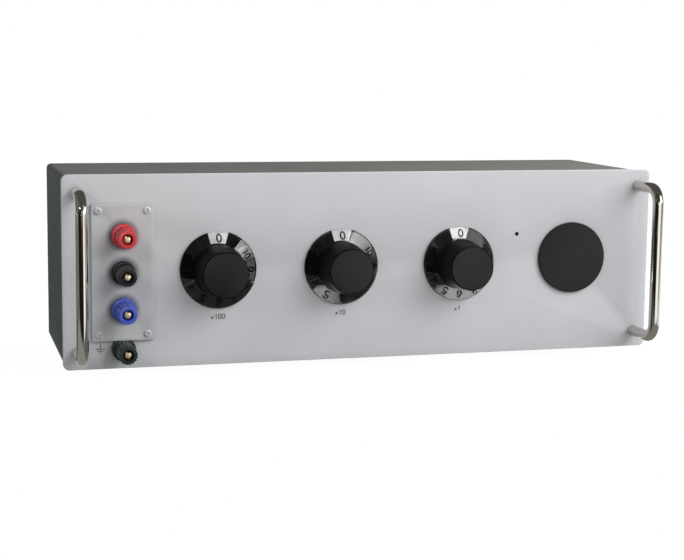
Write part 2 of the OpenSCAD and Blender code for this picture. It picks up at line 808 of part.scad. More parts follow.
// A lead follows a Bezier curve from start to end; the pulls set how far it runs straight at each end
module lead(start, start_pull, end, end_pull) {
    p = [start, start + start_pull, end + end_pull, end];
    across = unit(cross(start_pull, end - start));
    rings = [for (i = [0 : lead_steps]) let (t = i / lead_steps, up = cross(unit(bezier_slope(p, t)), across))
        [for (k = [0 : lead_sides - 1]) let (a = 360 * k / lead_sides)
            bezier(p, t) + lead_d / 2 * (cos(a) * across + sin(a) * up)]];
    sides = [for (i = [0 : lead_steps - 1], k = [0 : lead_sides - 1])
        let (a = i * lead_sides + k, b = i * lead_sides + (k + 1) % lead_sides)
        each [[a, b, b + lead_sides], [a, b + lead_sides, a + lead_sides]]];
    first = [for (k = [lead_sides - 1 : -1 : 0]) k];
    last = [for (k = [0 : lead_sides - 1]) lead_steps * lead_sides + k];
    polyhedron([for (ring = rings) each ring], concat([first], sides, [last]));
}

module hookup_leads() {
    back = [0, 0, -1];
    up = [0, 1, 0];
    color("#e9e7e0") on_panel() {
        lead(lug_end(0), return_pull * back, zero_end(0), deck_pull * back);
        lead(tab_end(0), deck_pull * back, zero_end(1), deck_pull * back);
        lead(tab_end(1), deck_pull * back, zero_end(2), deck_pull * back);
        lead(tab_end(2), return_pull * back, lug_end(1), post_pull * back);
        lead(lug_end(2), deck_pull * back, guard_end, deck_pull * up);
    }
}

module guard_plate() {
    color("#b9bbbd") on_panel() difference() {
        translate([guard_left, guard_y, -(panel_t + guard_front + guard_depth)])
            cube([guard_right - guard_left, guard_t, guard_depth]);
        translate([0, guard_y - cut, 0]) at_guard_pillars()
            cylinder(d = deck_screw_d + 2 * hole_gap, h = guard_t + 2 * cut);
    }
}

front_panel();
case_sleeve();
rear_cover();
case_screws();
rubber_feet();
handle(-1);  // left_handle
handle(1);  // right_handle
handle_screws();
terminal_plate();
terminal_plate_screws();
post_studs();
post_nuts();
post_lugs();
dial_masks();
dial_windows();
blank_cover();
panel_nuts();
switch_frames();
detent_springs();
insulating_pillars();
deck_screws();
stator_decks();
contact_studs();
collector_rings();
decade_resistors();
hookup_leads();
guard_plate();
post_tints = ["#b3262c", "#19191b", "#3147a8", "#16291f"];
for (i = [0 : 3]) {
    post_base(i, post_tints[i]);
    post_cap(i, post_tints[i]);
    post_washer(i);
}
for (i = [0 : dial_count - 1]) {
    dial_grip(i);
    dial_skirt(i);
    dial_face(i);
    dial_collet(i);
    dial_shaft(i);
    dial_rotor(i);
    dial_wiper(i);
}
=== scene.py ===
import json
from math import atan2, cos, pi, radians, sin, sqrt, tau

import bmesh
import bpy
from mathutils import Matrix, Vector


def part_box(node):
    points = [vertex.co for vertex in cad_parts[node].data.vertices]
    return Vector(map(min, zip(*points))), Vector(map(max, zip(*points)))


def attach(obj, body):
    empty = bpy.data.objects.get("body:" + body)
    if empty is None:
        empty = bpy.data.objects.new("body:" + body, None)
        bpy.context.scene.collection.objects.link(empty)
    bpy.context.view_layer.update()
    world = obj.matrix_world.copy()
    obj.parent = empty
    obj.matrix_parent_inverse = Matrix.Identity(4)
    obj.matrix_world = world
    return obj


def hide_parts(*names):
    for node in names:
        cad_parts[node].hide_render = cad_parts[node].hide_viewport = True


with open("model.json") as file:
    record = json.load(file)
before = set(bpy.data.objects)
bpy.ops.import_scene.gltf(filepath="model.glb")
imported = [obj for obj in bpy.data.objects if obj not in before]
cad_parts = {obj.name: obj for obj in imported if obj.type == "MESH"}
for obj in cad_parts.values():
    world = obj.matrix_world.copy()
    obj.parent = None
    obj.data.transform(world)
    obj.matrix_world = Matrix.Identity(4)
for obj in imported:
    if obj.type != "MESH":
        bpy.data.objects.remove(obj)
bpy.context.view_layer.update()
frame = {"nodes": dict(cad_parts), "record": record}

scene = bpy.context.scene
MM = 0.001
panel_low, panel_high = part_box("front_panel")
TO_ROW = Matrix.Translation((0, panel_low.y, panel_low.z)) @ Matrix.Rotation(pi / 2, 4, "X") @ Matrix.Scale(MM, 4)
PANEL_W = (panel_high.x - panel_low.x) / MM
PANEL_H = (panel_high.z - panel_low.z) / MM
PANEL_T = (panel_high.y - panel_low.y) / MM
MID_Y = PANEL_H / 2


def spot(node):
    """Centre of a node on the panel and how far back and forward it reaches, in mm."""
    low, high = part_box(node)
    centre = TO_ROW.inverted() @ ((low + high) / 2)
    return centre.x, centre.y, (panel_low.y - high.y) / MM, (panel_low.y - low.y) / MM


PLATE_POSTS = ("red", "black", "blue")
POSTS = {name: spot(f"{name}_post_cap") for name in (*PLATE_POSTS, "ground")}
DIALS = {n: spot(f"dial_{n}_grip") for n in (1, 2, 3)}


# Finishes

def linear(shade):
    """An sRGB hex colour as linear red, green, blue and alpha."""
    parts = [int(shade[i:i + 2], 16) / 255 for i in (1, 3, 5)]
    return [*(c / 12.92 if c <= 0.04045 else ((c + 0.055) / 1.055) ** 2.4 for c in parts), 1.0]


def add(tree, kind, feeds=None, **settings):
    """Add a node: settings are its own choices, feeds are socket values or the sockets that feed them."""
    node = tree.nodes.new(kind)
    for name, value in settings.items():
        setattr(node, name, value)
    for name, value in (feeds or {}).items():
        if isinstance(value, bpy.types.NodeSocket):
            tree.links.new(value, node.inputs[name])
        else:
            node.inputs[name].default_value = value
    return node


def surface(name, shade, tint, patch_mm, rough, grain_mm, relief_mm, stretch=(1, 1, 1), **sockets):
    """Two close shades in soft patches, a roughness that wanders between two values, and a fine relief."""
    material = bpy.data.materials.new(name)
    material.use_nodes = True
    tree = material.node_tree
    shader = tree.nodes["Principled BSDF"]
    for socket, value in sockets.items():
        shader.inputs[socket.replace("_", " ").title().replace("Ior", "IOR")].default_value = value
    place = add(tree, "ShaderNodeTexCoord").outputs["Object"]
    drawn = add(tree, "ShaderNodeMapping", {"Vector": place, "Scale": stretch}).outputs["Vector"]
    patch = add(tree, "ShaderNodeTexNoise", {"Vector": place, "Scale": 1000 / patch_mm, "Detail": 3.0}).outputs["Fac"]
    grain = add(tree, "ShaderNodeTexNoise", {"Vector": drawn, "Scale": 1000 / grain_mm, "Detail": 2.0}).outputs["Fac"]
    share = add(tree, "ShaderNodeMapRange", {"Value": patch, "From Min": 0.3, "From Max": 0.7}).outputs["Result"]
    wander = add(tree, "ShaderNodeMapRange", {"Value": grain, "From Min": 0.3, "From Max": 0.7,
                                              "To Min": rough[0], "To Max": rough[1]}).outputs["Result"]
    colour = add(tree, "ShaderNodeMix", {0: share, 6: linear(shade), 7: linear(tint)}, data_type="RGBA").outputs[2]
    relief = add(tree, "ShaderNodeBump", {"Height": grain, "Distance": relief_mm * MM, "Strength": 1.0})
    tree.links.new(colour, shader.inputs["Base Color"])
    tree.links.new(wander, shader.inputs["Roughness"])
    tree.links.new(relief.outputs["Normal"], shader.inputs["Normal"])
    return material


# Sprayed enamel on aluminium: an even pale grey with a satin sheen and the faint orange peel of a spray gun.
# The peel is about 0.5 mm across and is drawn at 1.5 mm, because it would not show at that size.
panel_enamel = surface("sprayed_pale_grey_enamel", "#c3c4c7", "#c8c9cc", 60, (0.55, 0.65), 1.5, 0.004,
                       specular_ior_level=0.25)
# Baked enamel on steel sheet: darker and a little rougher, with the same peel.
case_enamel = surface("baked_dark_grey_enamel", "#636361", "#686865", 50, (0.62, 0.72), 1.5, 0.006,
                      specular_ior_level=0.12)
# Nickel-chrome plate on a polished steel bar: warm mirror with the faintest haze from polishing along the bar.
bar_plate = surface("polished_nickel_chrome_plate", "#c6c2bc", "#ccc8c2", 12, (0.07, 0.12), 0.8, 0.0006,
                    stretch=(1, 1, 0.08), metallic=1.0)
# Moulded nylon of the post bases and caps: saturated colour under a soft moulded gloss.
red_moulding = surface("moulded_red_nylon", "#c3242b", "#cc2c33", 5, (0.26, 0.36), 0.5, 0.004)
black_moulding = surface("moulded_black_nylon", "#0f0f11", "#151517", 5, (0.26, 0.36), 0.5, 0.004,
                         specular_ior_level=0.35)
blue_moulding = surface("moulded_blue_nylon", "#3a52b4", "#4259bd", 5, (0.26, 0.36), 0.5, 0.004)
green_moulding = surface("moulded_dark_green_nylon", "#12261f", "#172d26", 5, (0.26, 0.36), 0.5, 0.004,
                         specular_ior_level=0.4)
# Gold-flashed turned brass: bright warm metal with fine turning marks.
gold_turning = surface("gold_flashed_turned_brass", "#fbe0b6", "#fde8c6", 3, (0.3, 0.38), 0.4, 0.002, metallic=1.0)
# Plain turned brass of the nuts, contacts and collets: yellower, with the same marks.
brass_turning = surface("turned_brass", "#c39a4c", "#cba456", 6, (0.2, 0.32), 0.4, 0.003, metallic=1.0)
# Nickel-plated steel of screws, nuts and frames: greyer and more hazy than the handles.
steel_plate = surface("barrel_nickel_plated_steel", "#b6b3ab", "#bfbcb5", 6, (0.24, 0.34), 0.6, 0.003, metallic=1.0)
# White nylon screws: milky, slightly glossy.
nylon_white = surface("moulded_white_nylon", "#cfcfd3", "#d6d6da", 3, (0.34, 0.44), 0.4, 0.003)
# Cast acrylic: water-clear and polished, so it shows what lies behind it and mirrors the lamps.
skirt_acrylic = surface("polished_clear_acrylic", "#fbfcfc", "#ffffff", 20, (0.008, 0.02), 12.0, 0.0001,
                        transmission_weight=1.0, ior=1.49)
# Turned phenolic grips: deep black with a low satin sheen from the lathe.
grip_phenolic = surface("turned_black_phenolic", "#060607", "#090909", 15, (0.42, 0.52), 1.2, 0.002,
                        specular_ior_level=0.05)
# Laminate of the face discs: charcoal, dull with a faint sheen, and a fine dry grain of about 0.3 mm.
face_charcoal = surface("matte_charcoal_laminate", "#0e0e10", "#121214", 14, (0.3, 0.36), 0.3, 0.006,
                        specular_ior_level=0.25)
# Anodised blank: as dark and as fine in the grain, but drier.
blank_charcoal = surface("matte_black_anodised_disc", "#171619", "#1b1a1d", 18, (0.55, 0.66), 0.3, 0.008,
                         specular_ior_level=0.38)
# Laminate behind the skirts: dead black with a white reading window.
mask_laminate = surface("matte_black_laminate", "#030304", "#060607", 8, (0.5, 0.62), 0.4, 0.004,
                        specular_ior_level=0.05)
window_laminate = surface("matte_white_laminate", "#f4f5f8", "#f8f9fb", 6, (0.5, 0.6), 0.4, 0.003)
# Screen-printed ink: satin black that mirrors the lamps much less than the acrylic.
print_ink = surface("screen_printed_black_ink", "#0a0a0b", "#0e0e0f", 3, (0.25, 0.35), 0.3, 0.0005,
                    specular_ior_level=0.12)
# Moulded rubber: dark, dry and grainy.
foot_rubber = surface("moulded_black_rubber", "#1b1b1c", "#222223", 6, (0.7, 0.82), 0.6, 0.02)
# Glazed steatite of the switch decks: creamy white with a wet shine.
deck_ceramic = surface("glazed_steatite", "#ebe6da", "#f0ece2", 9, (0.2, 0.32), 0.8, 0.004)
# Sawn phenolic laminate of the pillars: brown and dull, mottled by its layers.
pillar_laminate = surface("sawn_phenolic_laminate", "#735433", "#82613d", 3, (0.45, 0.6), 0.5, 0.01)
# Dipped lacquer of the resistors: an even grey blue with a soft gloss.
resistor_lacquer = surface("dipped_blue_lacquer", "#386685", "#41708f", 4, (0.2, 0.34), 0.5, 0.004)
# Extruded sleeving of the leads: off-white and waxy.
lead_sleeving = surface("extruded_white_pvc", "#e3e1d9", "#e9e7e0", 8, (0.4, 0.5), 0.5, 0.003)
# Mill-finish sheet of the guard plate: pale metal with the rolling marks drawn out along it.
guard_aluminium = surface("mill_finish_aluminium", "#b2b4b7", "#babcbf", 30, (0.3, 0.42), 0.5, 0.003,
                          stretch=(0.1, 1, 1), metallic=1.0)

# Painted shade rings round the posts on the terminal plate: where they start to fade and where they end, in mm, and
# their depth
SHADE_RING_FULL_R, SHADE_RING_END_R, SHADE_RING_DEPTH = 8.0, 13.0, 0.9


def frosted_plate():
    """Frosted polycarbonate: a dull grey milky sheet with soft dark rings of painted shade round the posts. They
    stand in for the clearance holes behind the posts seen through the sheet and for the shade the posts cast. Each
    ring fades out a little past the edge of its hole."""
    material = surface("frosted_grey_polycarbonate_painted_shade", "#b8b9ba", "#bebfc0", 25, (0.45, 0.55), 0.5, 0.004,
                       specular_ior_level=0.3)
    tree = material.node_tree
    shader = tree.nodes["Principled BSDF"]
    place = add(tree, "ShaderNodeTexCoord").outputs["Object"]
    ring = None
    for name in PLATE_POSTS:
        x, y = POSTS[name][:2]
        axis = TO_ROW @ Vector((x, y, spot("terminal_plate")[3]))
        away = add(tree, "ShaderNodeVectorMath", {0: place, 1: axis}, operation="DISTANCE").outputs["Value"]
        near = add(tree, "ShaderNodeMapRange", {"Value": away, "From Min": SHADE_RING_FULL_R * MM,
                                                "From Max": SHADE_RING_END_R * MM, "To Min": SHADE_RING_DEPTH, "To Max": 0.0},
                   interpolation_type="SMOOTHSTEP").outputs["Result"]
        ring = near if ring is None else add(tree, "ShaderNodeMath", {0: ring, 1: near},
                                             operation="MAXIMUM").outputs["Value"]
    plain = shader.inputs["Base Color"].links[0].from_socket
    # The rings' painted shade colour, mixed over the plate's own grey
    painted_shade = add(tree, "ShaderNodeMix", {0: ring, 6: plain, 7: linear("#686a76")}, data_type="RGBA").outputs[2]
    tree.links.new(painted_shade, shader.inputs["Base Color"])
    return material


plate_frost_and_painted_shade = frosted_plate()
SLOT_FINISH = {
    "panel_paint": panel_enamel, "case_paint": case_enamel, "handle_chrome": bar_plate, "plate_plastic": plate_frost_and_painted_shade,
    "red_plastic": red_moulding, "black_plastic": black_moulding, "blue_plastic": blue_moulding,
    "green_plastic": green_moulding, "gold_brass": gold_turning, "plain_brass": brass_turning,
    "plated_steel": steel_plate, "screw_nylon": nylon_white, "mask_black": mask_laminate,
    "window_white": window_laminate, "skirt_clear": skirt_acrylic, "grip_black": grip_phenolic,
    "face_charcoal": face_charcoal, "deck_ceramic": deck_ceramic, "pillar_phenolic": pillar_laminate,
    "resistor_enamel": resistor_lacquer, "lead_sleeve": lead_sleeving, "guard_sheet": guard_aluminium,
    "foot_rubber": foot_rubber,
}
for part in frame["record"]["subparts"]:
    for holder in frame["nodes"][part["node"]].material_slots:
        holder.material = SLOT_FINISH[part["material_slot"]]


# Shapes

def soften(outline, size, steps=4, closed=True):
    """Round every corner of an outline by cutting it back by size, or by less where an edge is short."""
    points = [Vector(p) for p in outline]
    rounded = []
    for i, corner in enumerate(points):
        if not closed and i in (0, len(points) - 1):
            rounded.append(corner)
            continue
        before, after = points[i - 1] - corner, points[(i + 1) % len(points)] - corner
        start = corner + before.normalized() * min(size, 0.45 * before.length)
        end = corner + after.normalized() * min(size, 0.45 * after.length)
        for k in range(steps + 1):
            t = k / steps
            rounded.append((1 - t) ** 2 * start + 2 * t * (1 - t) * corner + t * t * end)
    return rounded


def lathe(bm, profile, at, sides=128, closed=True, cut=None):
    """Turn a profile of radius and height about the Z axis of at; cut() gives the radius left at an angle."""
    rings = []
    for radius, height in profile:
        if radius < 1e-6:
            rings.append([bm.verts.new(at @ Vector((0, 0, height)))] * sides)
            continue
        ring = []
        for k in range(sides):
            angle = tau * k / sides
            r = min(radius, cut(angle, height)) if cut else radius
            ring.append(bm.verts.new(at @ Vector((r * sin(angle), r * cos(angle), height))))
        rings.append(ring)
    if closed:
        rings.append(rings[0])
    for low, high in zip(rings, rings[1:]):
        for k in range(sides):
            corners = dict.fromkeys((low[k], low[(k + 1) % sides], high[(k + 1) % sides], high[k]))
            if len(corners) > 2:
                bm.faces.new(corners)


def circle(x, y, r, sides=64):
    return [Vector((x + r * cos(tau * k / sides), y + r * sin(tau * k / sides))) for k in range(sides)]


def round_rect(x, y, w, h, r, steps=10):
    """Rounded rectangle about a centre, counter-clockwise."""
    outline = []
    for quarter, (sx, sy) in enumerate(((1, 1), (-1, 1), (-1, -1), (1, -1))):
        for k in range(steps + 1):
            angle = (quarter + k / steps) * pi / 2
            outline.append(Vector((x + sx * (w / 2 - r) + r * cos(angle), y + sy * (h / 2 - r) + r * sin(angle))))
    return outline


def sheet(bm, rim, holes, back, front, edge=0.3, steps=3):
    """Flat sheet between two depths, with rounded edges round its rim and its holes."""
    levels = [(edge * (1 - sin(k / steps * pi / 2)), back + edge * (1 - cos(k / steps * pi / 2)))
              for k in range(steps + 1)]
    levels += [(inset, front + back - depth) for inset, depth in reversed(levels)]
    loops = [[] for _ in levels]
    for outline in [rim] + [hole[::-1] for hole in holes]:
        count = len(outline)
        rings = []
        for inset, depth in levels:
            ring = []
            for i, point in enumerate(outline):
                along = (outline[(i + 1) % count] - outline[i - 1]).normalized()
                ring.append(bm.verts.new((point.x - along.y * inset, point.y + along.x * inset, depth)))
            rings.append(ring)
        for low, high in zip(rings, rings[1:]):
            for i in range(count):
                bm.faces.new((low[i], low[(i + 1) % count], high[(i + 1) % count], high[i]))
        for ring, loop in zip(rings, loops):
            loop += [(ring[i], ring[(i + 1) % count]) for i in range(count)]
    for loop in (loops[0], loops[-1]):
        edges = [bm.edges.get(pair) for pair in loop]
        bmesh.ops.triangle_fill(bm, use_beauty=True, edges=edges)


def tube(bm, path, radius, sides=48):
    """Round bar along a path that lies in a plane of constant x, closed at both ends."""
    across = Vector((1, 0, 0))
    rings = []
    for i, point in enumerate(path):
        along = (path[min(i + 1, len(path) - 1)] - path[max(i - 1, 0)]).normalized()
        up = along.cross(across)
        rings.append([bm.verts.new(point + radius * (cos(tau * k / sides) * across + sin(tau * k / sides) * up))
                      for k in range(sides)])
    for low, high in zip(rings, rings[1:]):
        for k in range(sides):
            bm.faces.new((low[k], low[(k + 1) % sides], high[(k + 1) % sides], high[k]))
    bm.faces.new(rings[0])
    bm.faces.new(rings[-1])


def box(bm, low, high):
    """Block between two corners."""
    bmesh.ops.create_cube(bm, size=1, matrix=Matrix.Translation((Vector(low) + Vector(high)) / 2)
                          @ Matrix.Diagonal((*(Vector(high) - Vector(low)), 1)))


def cut_away(bm, tool):
    """Cut one closed form out of another and return what is left."""
    meshes, solids = [], []
    for form in (bm, tool):
        bmesh.ops.recalc_face_normals(form, faces=form.faces)
        mesh = bpy.data.meshes.new("form")
        form.to_mesh(mesh)
        form.free()
        solid = bpy.data.objects.new("form", mesh)
        scene.collection.objects.link(solid)
        meshes.append(mesh)
        solids.append(solid)
    step = solids[0].modifiers.new("cut", "BOOLEAN")
    step.object, step.operation, step.solver = solids[1], "DIFFERENCE", "EXACT"
    left = bpy.data.meshes.new_from_object(solids[0].evaluated_get(bpy.context.evaluated_depsgraph_get()))
    for solid in solids:
        bpy.data.objects.remove(solid)
    for mesh in meshes:
        bpy.data.meshes.remove(mesh)
    result = bmesh.new()
    result.from_mesh(left)
    bpy.data.meshes.remove(left)
    return result


def repeat(bm, form, places):
    """Add a copy of a form at each place."""
    mesh = bpy.data.meshes.new("form")
    form.to_mesh(mesh)
    form.free()
    for place in places:
        copy = mesh.copy()
        copy.transform(place)
        bm.from_mesh(copy)
        bpy.data.meshes.remove(copy)
    bpy.data.meshes.remove(mesh)


def rolled(radius, height, size=0.8, steps=6):
    """Quarter round that joins the side of a turned piece to its face."""
    return [(radius - size * (1 - cos(k / steps * pi / 2)), height - size * (1 - sin(k / steps * pi / 2)))
            for k in range(steps + 1)]


def piece(name, bm, body, slot, nodes=(), finish=None, crease=35):
    """Move a form to the row frame, shade it and let it ride on its body. Its finish is its slot's own, or another
    one that is given."""
    bmesh.ops.recalc_face_normals(bm, faces=bm.faces)
    mesh = bpy.data.meshes.new(name)
    bm.to_mesh(mesh)
    bm.free()
    mesh.transform(TO_ROW)
    mesh.shade_smooth()
    mesh.set_sharp_from_angle(angle=radians(crease))
    mesh.materials.append(finish or SLOT_FINISH[slot])
    made = bpy.data.objects.new(name, mesh)
    scene.collection.objects.link(made)
    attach(made, body)
    if nodes:
        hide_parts(*nodes)
    return made


def at(x, y, u=0.0):
    return Matrix.Translation((x, y, u))


# Panel, case and feet

SIDES = (-1, 1)
PANEL_CORNER, CASE_INSET, CASE_LIFT, SHEET_T, CASE_BEND = 4.5, 1.5, 0.2, 1.6, 3.5
CASE_W, CASE_H = PANEL_W - 2 * CASE_INSET, PANEL_H - CASE_INSET - CASE_LIFT
CASE_MID = CASE_LIFT + CASE_H / 2
FLANGE_W, FLANGE_H, FLANGE_CORNER = 16, CASE_H - 2 * (CASE_BEND + SHEET_T), 1
LEG_HOLE_R, SHAFT_HOLE_R, CLEARANCE_R, STUD_HOLE_R = 2.7, 4.95, 11, 2.7
REAR_SCREW_IN, REAR_SCREW_STEP, REAR_HOLE_R, REAR_THREAD_R = 8, 45, 2.2, 2.02
HANDLE_IN, LEG_IN = 9.8, 12.0
HANDLE_X, HANDLE_LEGS = PANEL_W / 2 - HANDLE_IN, (LEG_IN, PANEL_H - LEG_IN)
_, _, case_back, case_front = spot("case_sleeve")
cover_back = spot("rear_cover")[2]
legs = [(side * HANDLE_X, y) for side in SIDES for y in HANDLE_LEGS]
rear_screws = [(side * (CASE_W / 2 - SHEET_T - REAR_SCREW_IN), CASE_MID + row * REAR_SCREW_STEP)
               for side in SIDES for row in (-1, 0, 1)]
blank_x, blank_y = spot("blank_cover")[:2]

bm = bmesh.new()
holes = [circle(x, y, LEG_HOLE_R) for x, y in legs]
holes += [circle(x, y, SHAFT_HOLE_R) for x, y in [d[:2] for d in DIALS.values()] + [(blank_x, blank_y)]]
holes += [circle(*POSTS[name][:2], CLEARANCE_R) for name in PLATE_POSTS]
holes += [circle(*POSTS["ground"][:2], STUD_HOLE_R)]
sheet(bm, round_rect(0, MID_Y, PANEL_W, PANEL_H, PANEL_CORNER), holes, -PANEL_T, 0, edge=0.5)
piece("front_panel_enamelled", bm, "box", "panel_paint", ["front_panel"])

bm = bmesh.new()
sheet(bm, round_rect(0, CASE_MID, CASE_W, CASE_H, CASE_BEND),
      [round_rect(0, CASE_MID, CASE_W - 2 * SHEET_T, CASE_H - 2 * SHEET_T, CASE_BEND - SHEET_T)],
      case_back, case_front, edge=0.25)
for side in SIDES:
    rim = round_rect(side * (CASE_W / 2 - SHEET_T - FLANGE_W / 2), CASE_MID, FLANGE_W, FLANGE_H, FLANGE_CORNER)
    for screws, radius, back in ((legs, LEG_HOLE_R, case_front - SHEET_T), (rear_screws, REAR_THREAD_R, case_back)):
        sheet(bm, rim, [circle(x, y, radius) for x, y in screws if x * side > 0], back, back + SHEET_T, edge=0.2)
piece("case_sleeve_folded", bm, "box", "case_paint", ["case_sleeve"])

bm = bmesh.new()
sheet(bm, round_rect(0, CASE_MID, CASE_W, CASE_H, CASE_BEND), [circle(x, y, REAR_HOLE_R) for x, y in rear_screws],
      cover_back, cover_back + SHEET_T, edge=0.4)
piece("rear_cover_enamelled", bm, "box", "case_paint", ["rear_cover"])


def pan_screw(d, length, head_d, head_h, rise=0.35, steps=8):
    """Pan-head screw with a cross recess: the head stands on z = 0 and the shank runs down. The head's side is
    upright for the share rise of its height, and the rest is domed."""
    form = bmesh.new()
    dome = [(head_d / 2 * cos(k / steps * pi / 2) ** 0.6, head_h * (rise + (1 - rise) * sin(k / steps * pi / 2)))
            for k in range(steps)]
    lathe(form, [(0, -length), (d / 2, -length), (d / 2, 0), (head_d / 2, 0), *dome, (0, head_h)],
          Matrix.Identity(4), sides=40, closed=False)
    cross = bmesh.new()
    arm, half, floor = head_d * 0.3, head_d / 11, head_h * 0.2
    corner = [(arm, -half), (arm, half), (half, half)]
    rim = [Vector(p) @ Matrix.Rotation(-turn * pi / 2, 2) for turn in range(4) for p in corner]
    sheet(cross, rim, [], floor, head_h * 2, edge=0.01)
    return cut_away(form, cross)


FOOT_IN_X, FOOT_IN_U, FOOT_H, FOOT_SEAT = 30, 36, 6.0, 3.4
FOOT_TIP_R, FOOT_TOP_R, FOOT_BORE_R, FOOT_SINK_R = 6.5, 8, 2.2, 3.9
UPRIGHT, FLIP = Matrix.Rotation(-pi / 2, 4, "X"), Matrix.Rotation(pi, 4, "X")
feet = [Matrix.Translation((side * (CASE_W / 2 - FOOT_IN_X), CASE_LIFT - FOOT_H, depth)) @ UPRIGHT
        for side in SIDES for depth in (-PANEL_T - FOOT_IN_U, cover_back + FOOT_IN_U)]
bm = bmesh.new()
for foot in feet:
    lathe(bm, soften([(FOOT_SINK_R, 0), (FOOT_TIP_R, 0), (FOOT_TOP_R, FOOT_H), (FOOT_BORE_R, FOOT_H),
                      (FOOT_BORE_R, FOOT_SEAT), (FOOT_SINK_R, FOOT_SEAT)], size=0.5), foot, sides=64)
piece("rubber_feet_moulded", bm, "box", "foot_rubber", ["rubber_feet"])

bm = bmesh.new()
repeat(bm, pan_screw(d=4, length=7, head_d=7, head_h=2.4),
       [at(x, y, cover_back) @ FLIP for x, y in rear_screws] + [foot @ at(0, 0, FOOT_SEAT) @ FLIP for foot in feet])
piece("case_screws_cross_head", bm, "box", "plated_steel", ["case_screws"])


# Handles

BAR_R, BEND_R, BEND_STEPS, DRILL_R, DRILL_DEPTH = 4.0, 11.0, 16, 2.52, 13.0
BAR_REACH = 38.1 - BAR_R
for side, name in zip(SIDES, ("left_handle", "right_handle")):
    path = [(LEG_IN, 0), (LEG_IN, BAR_REACH - BEND_R)]
    path += [(LEG_IN + BEND_R * (1 - cos(k / BEND_STEPS * pi / 2)),
              BAR_REACH - BEND_R * (1 - sin(k / BEND_STEPS * pi / 2))) for k in range(1, BEND_STEPS + 1)]
    path += [(PANEL_H - y, u) for y, u in reversed(path)]
    bm = bmesh.new()
    tube(bm, [Vector((side * HANDLE_X, y, u)) for y, u in path], BAR_R)
    drill = bmesh.new()
    for y in HANDLE_LEGS:
        lathe(drill, [(0, -1), (DRILL_R, -1), (DRILL_R, DRILL_DEPTH), (0, DRILL_DEPTH)], at(side * HANDLE_X, y),
              sides=48, closed=False)
    piece(f"{name}_bar", cut_away(bm, drill), "box", "handle_chrome", [name], crease=40)


# Terminals

PLATE_W, PLATE_H, PLATE_CORNER = 42.4, 94.0, 1.0
PLATE_SCREW_X, PLATE_SCREW_Y, PLATE_SCREW_HOLE_R = 16.6, 42.4, 1.45
STUD_BORE_R = 2.52
plate_x, plate_y, plate_back, plate_front = spot("terminal_plate")
plate_screws = [(plate_x + sx * PLATE_SCREW_X, plate_y + sy * PLATE_SCREW_Y) for sx in SIDES for sy in SIDES]
bm = bmesh.new()
sheet(bm, round_rect(plate_x, plate_y, PLATE_W, PLATE_H, PLATE_CORNER),
      [circle(*POSTS[name][:2], STUD_BORE_R) for name in PLATE_POSTS]
      + [circle(x, y, PLATE_SCREW_HOLE_R, 32) for x, y in plate_screws], plate_back, plate_front, edge=0.35)
piece("terminal_plate_frosted", bm, "box", "plate_plastic", ["terminal_plate"])
bm = bmesh.new()
repeat(bm, pan_screw(d=2.5, length=5.9, head_d=5, head_h=1.7),
       [at(x, y, plate_front) @ Matrix.Rotation(0.3 + 0.9 * i, 4, "Z") for i, (x, y) in enumerate(plate_screws)])
piece("terminal_plate_screws_nylon", bm, "box", "screw_nylon", ["terminal_plate_screws"])

POST_SLOT = {"red": "red_plastic", "black": "black_plastic", "blue": "blue_plastic", "ground": "green_plastic"}
POST_LEVEL, BASE_R, GROUND_FLAT, SAW_REACH = 7.0, 8.1, 5.4, 10
SHOULDER_T, SHOULDER_SEAT_R = 1, 3.72
CAP_R, FLUTES, FLUTE_DEPTH, COLLAR_H, RUN_OUT = 6.4, 16, 0.7, 3, 0.9
FLUTE_R = pi * 2 * CAP_R / FLUTES / 4
CAP_MOUTH_R, CAP_LIP, CAP_BORE_R, CAP_POCKET_R, WASHER_SEAT_R = 3.7, 0.2, 2.55, 3.9, 4.7
CAP_BORE_U, CAP_POCKET_U, WASHER_SEAT_U = 11.2, 4.4, 1.5


def fluted(angle, height, collar):
    """Radius that the flutes leave on a cap; they run out softly at the collar."""
    offset = ((angle / tau * FLUTES + 0.5) % 1 - 0.5) * tau / FLUTES * CAP_R
    if abs(offset) >= FLUTE_R:
        return CAP_R
    share = min(1, max(0, (height - collar) / RUN_OUT))
    return CAP_R - (FLUTE_DEPTH - FLUTE_R + sqrt(FLUTE_R ** 2 - offset ** 2)) * share


for name, (x, y, cap_back, cap_front) in POSTS.items():
    seat = 0 if name == "ground" else plate_front
    bm = bmesh.new()
    lathe(bm, soften([(STUD_BORE_R, seat), (BASE_R, seat), (BASE_R, POST_LEVEL), (SHOULDER_SEAT_R, POST_LEVEL),
                      (SHOULDER_SEAT_R, POST_LEVEL - SHOULDER_T), (STUD_BORE_R, POST_LEVEL - SHOULDER_T)], size=0.7),
          at(x, y), sides=96)
    if name == "ground":
        saw = bmesh.new()
        box(saw, (x - SAW_REACH, y + GROUND_FLAT, -1), (x + SAW_REACH, y + SAW_REACH, POST_LEVEL + 1))
        bm = cut_away(bm, saw)
    piece(f"{name}_post_base_moulded", bm, "box", POST_SLOT[name], [f"{name}_post_base"])

    collar = cap_back + COLLAR_H
    side = [(CAP_R, cap_back), (CAP_R, collar)] + [(CAP_R, collar + RUN_OUT * k / 6) for k in range(1, 7)]
    hollow = [(CAP_MOUTH_R + CAP_LIP, cap_front), (CAP_MOUTH_R, cap_front - CAP_LIP)]
    hollow += [(radius, cap_back + u) for radius, u in (
        (CAP_MOUTH_R, CAP_BORE_U), (CAP_BORE_R, CAP_BORE_U), (CAP_BORE_R, CAP_POCKET_U), (CAP_POCKET_R, CAP_POCKET_U),
        (CAP_POCKET_R, WASHER_SEAT_U), (WASHER_SEAT_R, WASHER_SEAT_U), (WASHER_SEAT_R, 0))]
    bm = bmesh.new()
    lathe(bm, side + rolled(CAP_R, cap_front) + hollow, at(x, y), sides=FLUTES * 12,
          cut=lambda angle, height, collar=collar: fluted(angle, height, collar))
    piece(f"{name}_post_cap_fluted", bm, f"{name}_cap", POST_SLOT[name], [f"{name}_post_cap"])

